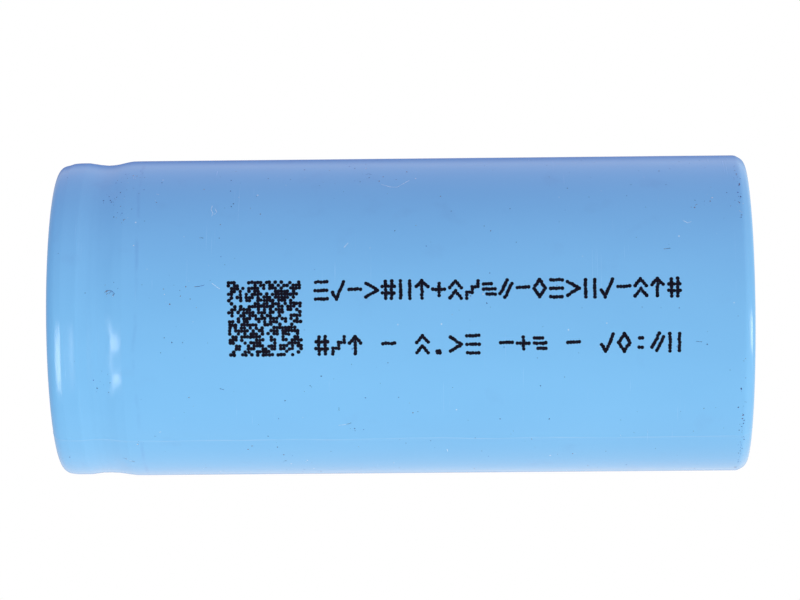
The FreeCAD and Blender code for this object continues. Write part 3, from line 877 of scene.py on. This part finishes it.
def plated_steel():
    """Nickel-plated deep-drawn steel: satin, with fine drawing lines along the can and a few spots."""
    s = Shader("nickel_steel")
    lines = s.noise(0.12, 0.12, 6, detail=3)
    colour = s.mix(s.span(lines, 0.35, 0.65), (0.55, 0.53, 0.49), (0.66, 0.64, 0.60))
    spots = s.span(s.cells(1.6)[0], 0.05, 0.09, 1.0, 0.0)
    colour = s.mix(s.math("MULTIPLY", spots, 0.5), colour, (0.30, 0.27, 0.23))
    rough = s.span(s.noise(1.5, detail=4), 0.3, 0.7, 0.17, 0.30)
    s.set(Metallic=1.0)
    return s.done(colour, rough, s.bump(lines, 0.0016))


def ring_paper():
    """Pale barley paper: matt, with fibres."""
    s = Shader("insulating_paper")
    fibres = s.noise(0.9, 0.07, 0.3, detail=4)
    across = s.noise(0.07, 0.9, 0.3, detail=4)
    web = s.math("ADD", fibres, across)
    colour = s.mix(s.span(web, 0.8, 1.2), (0.70, 0.68, 0.61), (0.84, 0.83, 0.78))
    return s.done(colour, s.span(web, 0.8, 1.2, 0.82, 0.94), s.bump(web, 0.012))


def seal_plastic():
    """Natural polypropylene: milky, waxy, with faint flow marks."""
    s = Shader("seal_plastic")
    flow = s.noise(1.8, 1.8, 0.7, detail=2)
    colour = s.mix(s.span(flow, 0.3, 0.7), (0.60, 0.62, 0.60), (0.70, 0.72, 0.70))
    s.set(Subsurface_Weight=0.2, Subsurface_Scale=0.0006)
    return s.done(colour, s.span(flow, 0.3, 0.7, 0.34, 0.46), s.bump(s.noise(0.25), 0.002))


FOIL_GRAIN = (0.4, 0.4, 0.12)
SHEET_GRAIN = (0.10, 1.6, 1.6)
TAB_GRAIN = (0.10, 0.10, 2.5)


def metal(name, low, high, grain, rough_low, rough_high, height):
    """A bare metal with rolling or pressing grain; grain is the length of its noise along x, y and z."""
    s = Shader(name)
    lines = s.noise(*grain, detail=3)
    colour = s.mix(s.span(lines, 0.35, 0.65), low, high)
    rough = s.span(s.noise(1.1, detail=3), 0.3, 0.7, rough_low, rough_high)
    s.set(Metallic=1.0)
    return s.done(colour, rough, s.bump(lines, height))


def valve_aluminium():
    return metal("valve_aluminium", (0.66, 0.67, 0.68), (0.80, 0.81, 0.82), SHEET_GRAIN, 0.24, 0.34, 0.0015)


def copper_foil():
    return metal("copper_foil", (0.66, 0.31, 0.18), (0.80, 0.42, 0.27), FOIL_GRAIN, 0.28, 0.40, 0.001)


def aluminium_foil():
    return metal("aluminium_foil", (0.70, 0.71, 0.73), (0.84, 0.85, 0.87), FOIL_GRAIN, 0.22, 0.34, 0.001)


def nickel_tab():
    return metal("nickel_tab", (0.54, 0.52, 0.47), (0.66, 0.63, 0.58), TAB_GRAIN, 0.26, 0.38, 0.0012)


def powder(name, low, high, size, rough):
    """A pressed powder coating: matt, with a fine grain."""
    s = Shader(name)
    grain = s.noise(size, detail=4, rough=0.7)
    colour = s.mix(s.span(grain, 0.35, 0.65), low, high)
    return s.done(colour, s.span(grain, 0.3, 0.7, rough - 0.06, rough + 0.06), s.bump(grain, 0.004))


def graphite():
    return powder("graphite", (0.018, 0.018, 0.020), (0.045, 0.045, 0.048), 0.12, 0.62)


def iron_phosphate():
    return powder("iron_phosphate", (0.014, 0.015, 0.017), (0.030, 0.031, 0.033), 0.10, 0.80)


def disc_fibre():
    return powder("disc_fibre", (0.52, 0.50, 0.44), (0.68, 0.66, 0.60), 0.35, 0.84)


def film_like(name, low, high, rough, weight):
    """A thin plastic film or tape: smooth, with slight waves; weight is how much light passes through it."""
    s = Shader(name)
    waves = s.noise(1.4, 1.4, 4, detail=3)
    colour = s.mix(s.span(waves, 0.3, 0.7), low, high)
    s.set(Transmission_Weight=weight)
    return s.done(colour, s.span(waves, 0.3, 0.7, rough - 0.05, rough + 0.05), s.bump(waves, 0.01))


def separator_film():
    return film_like("separator_film", (0.78, 0.79, 0.80), (0.88, 0.89, 0.90), 0.48, 0.0)


def polyimide_tape():
    return film_like("polyimide_tape", (0.58, 0.25, 0.02), (0.70, 0.34, 0.04), 0.22, 0.2)


def closing_tape():
    return film_like("closing_tape", (0.10, 0.42, 0.16), (0.14, 0.50, 0.22), 0.30, 0.0)


NODE_MATERIALS = {
    plated_steel: ("steel_can", "positive_cap", "centre_pin"),
    ring_paper: ("top_insulator_ring",),
    seal_plastic: ("crimp_gasket", "cid_holder"),
    valve_aluminium: ("vent_disc", "vent_dome", "cid_plate"),
    disc_fibre: ("upper_insulator", "lower_insulator"),
    separator_film: ("separator_one", "separator_two"),
    copper_foil: ("anode_foil",),
    graphite: ("anode_coating",),
    aluminium_foil: ("cathode_foil", "positive_tabs"),
    iron_phosphate: ("cathode_coating",),
    closing_tape: ("roll_tape",),
    polyimide_tape: ("positive_tab_tape",),
    nickel_tab: ("negative_tabs",),
}


def paint_nodes(film):
    """Gives every CAD node its material."""
    for make, names in NODE_MATERIALS.items():
        material = make()
        for name in names:
            set_material(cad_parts[name], material)
    set_material(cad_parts["shrink_sleeve"], film)


def set_material(obj, material):
    """Puts the material in every slot of the object, and makes one if it has none."""
    for place in obj.material_slots:
        place.material = material
    if not obj.material_slots:
        obj.data.materials.append(material)


# ---- studio


def toward(down_degrees, left_degrees):
    """A direction from the cell, turned from the front toward image down (-X) and toward image left (+Z)."""
    down = math.radians(down_degrees)
    left = math.radians(left_degrees)
    flat = Vector((-math.sin(down), -math.cos(down), 0))
    return flat * math.cos(left) + Vector((0, 0, math.sin(left)))


def add_strip(name, down, left, spread_down, spread_left, brightness):
    """A soft light; its spreads are the half angles that it covers as seen from the cell."""
    middle = (SLEEVE_LOW + SLEEVE_HIGH) / 2
    data = bpy.data.lights.new(name, "AREA")
    data.shape = "ELLIPSE"
    data.size = 2 * LIGHT_DISTANCE * math.tan(math.radians(spread_down))
    data.size_y = 2 * LIGHT_DISTANCE * math.tan(math.radians(spread_left))
    area = math.pi / 4 * data.size * data.size_y
    data.energy = brightness * math.pi * area
    light = bpy.data.objects.new(name, data)
    bpy.context.scene.collection.objects.link(light)
    away = toward(down, left)
    side = away.cross(Vector((0, 0, 1))).normalized()
    turned = axes(side, away.cross(side), away)
    light.matrix_world = Matrix.Translation(middle + away * LIGHT_DISTANCE) @ turned
    return light


def axes(x, y, z):
    """The rotation whose axes are these."""
    return Matrix((x, y, z)).transposed().to_4x4()


def add_lights():
    """A long strip that makes the shoulder and the groove gleam, and a small light for the base corner.

    The fill brightens the wall as the strip does, but doesn't show in the film's gloss.
    """
    add_strip("strip_light", 31, 24, 25, 3.8, 7.5)
    fill = add_strip("fill_light", 30, 24, 26, 4.8, 5.3)
    fill.visible_glossy = False
    add_strip("corner_light", 33, -71, 11, 5.0, 11.0)


def add_floor():
    """A plain white floor, which only the camera sees: the light comes from all round, as in a light tent."""
    mesh = bpy.data.meshes.new("floor")
    low = SLEEVE_LOW.z - FLOOR_DROP
    corners = [(x * FLOOR_REACH, y * FLOOR_REACH, low) for x, y in ((-1, -1), (1, -1), (1, 1), (-1, 1))]
    mesh.from_pydata(corners, [], [(0, 1, 2, 3)])
    floor = bpy.data.objects.new("floor", mesh)
    bpy.context.scene.collection.objects.link(floor)
    material = bpy.data.materials.new("floor_white")
    material.use_nodes = True
    tree = material.node_tree
    glow = tree.nodes.new("ShaderNodeEmission")
    glow.inputs["Color"].default_value = (1, 1, 1, 1)
    tree.links.new(glow.outputs[0], tree.nodes["Material Output"].inputs["Surface"])
    mesh.materials.append(material)
    floor.visible_diffuse = False
    floor.visible_glossy = False
    floor.visible_transmission = False
    floor.visible_shadow = False


class Tent:
    """The world's node tree: light by direction."""

    def __init__(self, tree):
        self.tree = tree
        self.way = tree.nodes.new("ShaderNodeTexCoord").outputs["Generated"]

    def vector_math(self, operation, a, b):
        made = self.tree.nodes.new("ShaderNodeVectorMath")
        made.operation = operation
        for i, value in enumerate((a, b)):
            if isinstance(value, bpy.types.NodeSocket):
                self.tree.links.new(value, made.inputs[i])
            else:
                made.inputs[i].default_value = value
        return made

    def along(self, direction):
        return self.vector_math("DOT_PRODUCT", self.way, direction).outputs["Value"]

    def slope(self, direction, dim, bright):
        """Light that grows evenly from one side of the tent to the other."""
        level = self.tree.nodes.new("ShaderNodeMapRange")
        level.inputs["From Min"].default_value = -1.0
        self.tree.links.new(self.along(direction), level.inputs["Value"])
        return self.mix(level.outputs[0], dim, bright)

    def lobe(self, direction, colour, start=0.0):
        """A soft patch round one direction, which begins where the cosine of the angle to it is start."""
        level = self.tree.nodes.new("ShaderNodeMapRange")
        level.interpolation_type = "SMOOTHSTEP"
        level.inputs["From Min"].default_value = start
        self.tree.links.new(self.along(direction), level.inputs["Value"])
        return self.mix(level.outputs[0], (0, 0, 0), colour)

    def mix(self, fac, a, b):
        made = self.tree.nodes.new("ShaderNodeMix")
        made.data_type = "RGBA"
        self.tree.links.new(fac, made.inputs[0])
        for index, value in zip(MIX_COLOURS, (a, b)):
            if isinstance(value, bpy.types.NodeSocket):
                self.tree.links.new(value, made.inputs[index])
            else:
                made.inputs[index].default_value = (*value, 1)
        return made.outputs[MIX_RESULT]

    def show(self, light):
        """Lights the scene; the camera itself sees plain white."""
        seen = self.tree.nodes.new("ShaderNodeLightPath")
        back = self.tree.nodes.new("ShaderNodeBackground")
        self.tree.links.new(self.mix(seen.outputs["Is Camera Ray"], light, (1, 1, 1)), back.inputs["Color"])
        out = self.tree.nodes.new("ShaderNodeOutputWorld")
        self.tree.links.new(back.outputs[0], out.inputs["Surface"])


def add_world():
    """A light tent: brightest past the flat end and dim past the cap.

    It has soft patches at +X, at -X and behind, and a dark gap behind, which the film's upper edge reflects.
    """
    world = bpy.data.worlds.new("tent")
    bpy.context.scene.world = world
    world.use_nodes = True
    world.node_tree.nodes.clear()
    tent = Tent(world.node_tree)
    even = tent.slope((-0.25, -0.10, -0.96), (0.20, 0.18, 0.21), (1.11, 1.08, 0.98))
    cool = tent.lobe((1, 0, 0), (0.11, 0.06, 0.30))
    low = tent.lobe((-0.9, 0.44, 0), (0.12, 0.08, 0.12))
    behind = tent.lobe((0, 0.9, 0.44), (0.26, 0.29, 0.34))
    gap = tent.lobe((0.18, 0.98, 0), (0.68, 0.64, 0.46), 0.88)
    light = tent.vector_math("ADD", even, cool).outputs[0]
    for patch in (low, behind):
        light = tent.vector_math("ADD", light, patch).outputs[0]
    light = tent.vector_math("SUBTRACT", light, gap).outputs[0]
    tent.show(tent.vector_math("MAXIMUM", light, (0, 0, 0)).outputs[0])


def add_camera():
    """Stands where the photo was taken from, turned so that the cell's top is at image left."""
    data = bpy.data.cameras.new("camera")
    data.lens = CAMERA_LENS
    data.sensor_width = SENSOR
    camera = bpy.data.objects.new("camera", data)
    bpy.context.scene.collection.objects.link(camera)
    ahead = (CAMERA_AIM - CAMERA_PLACE).normalized()
    right = ahead.cross(Vector((1, 0, 0))).normalized()
    turn = Matrix.Rotation(CAMERA_ROLL, 3, ahead)
    right = turn @ right
    camera.matrix_world = Matrix.Translation(CAMERA_PLACE) @ axes(right, right.cross(ahead), -ahead)
    bpy.context.scene.camera = camera


def main():
    film = film_material()
    paint_nodes(film)
    build_sleeve(film)
    build_print(ink_material())
    dirt = dirt_material()
    build_dirt(dirt)
    build_scratches("dark_scratches", DARK_SCRATCHES, dirt)
    build_scratches("pale_scratches", PALE_SCRATCHES, scuff_material())
    add_floor()
    add_world()
    add_lights()
    add_camera()
    bpy.context.scene.view_settings.view_transform = "Standard"


main()
